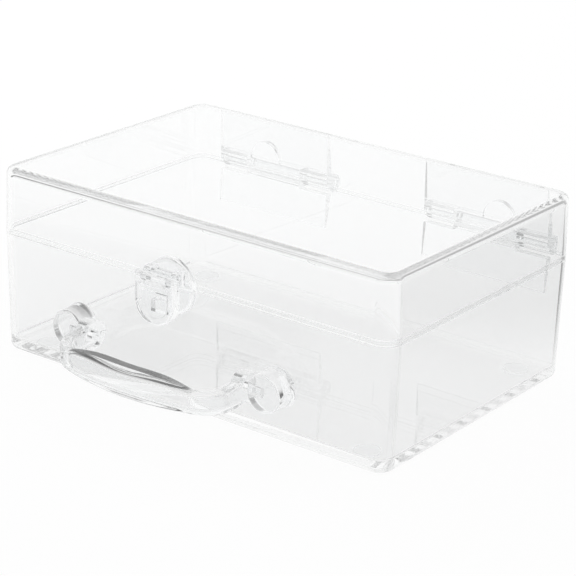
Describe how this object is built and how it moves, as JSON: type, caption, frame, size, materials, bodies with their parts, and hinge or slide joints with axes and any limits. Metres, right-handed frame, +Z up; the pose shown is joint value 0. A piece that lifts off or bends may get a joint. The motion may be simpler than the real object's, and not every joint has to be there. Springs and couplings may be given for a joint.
{
  "type": "storage case",
  "caption": "Clear moulded carrying case with a deep base, a hinged lid, a clasp over the front seam and a swinging carry handle, for storing and carrying small things.",
  "frame": {"origin": "middle of the whole case's extent, handle and hinges included, on the plane that the feet stand on", "axes": "+X along the case's width, to the right as seen from the handle; +Y from the handle to the hinges; +Z up"},
  "size_m": [0.205, 0.1816, 0.0847],
  "materials": {
    "clear_shell": "clear, polished",
    "clear_fitting": "clear, polished",
    "clear_handle": "clear, polished",
    "clear_pin": "clear, polished",
    "clear_foot": "clear, satin"
  },
  "bodies": {
    "case": {"base_shell": "clear_shell", "latch_base_plate": "clear_fitting", "base_hinge_left": "clear_fitting", "hinge_pin_left": "clear_pin", "handle_boss_left": "clear_fitting", "handle_pin_left": "clear_pin", "foot_front_left": "clear_foot", "foot_back_left": "clear_foot", "base_hinge_right": "clear_fitting", "hinge_pin_right": "clear_pin", "handle_boss_right": "clear_fitting", "handle_pin_right": "clear_pin", "foot_front_right": "clear_foot", "foot_back_right": "clear_foot"},
    "lid": {"lid_shell": "clear_shell", "latch_lid_plate": "clear_fitting", "latch_pin": "clear_pin", "lid_hinge_left": "clear_fitting", "lid_hinge_right": "clear_fitting"},
    "handle": {"handle_bow": "clear_handle"},
    "clasp": {"latch_clasp": "clear_fitting"}
  },
  "joints": [
    {"name": "lid_hinge", "type": "hinge", "parent": "case", "child": "lid", "pos_m": [0, 0.08661, 0.0564], "axis": [-1, 0, 0], "range_deg": [0, 105]},
    {"name": "handle_swing", "type": "hinge", "parent": "case", "child": "handle", "pos_m": [-0.0027, -0.06199, 0.0252], "axis": [-1, 0, 0], "range_deg": [0, 44]},
    {"name": "clasp_swing", "type": "hinge", "parent": "lid", "child": "clasp", "pos_m": [-0.0046, -0.06189, 0.0606], "axis": [-1, 0, 0], "range_deg": [0, 90]}
  ]
}
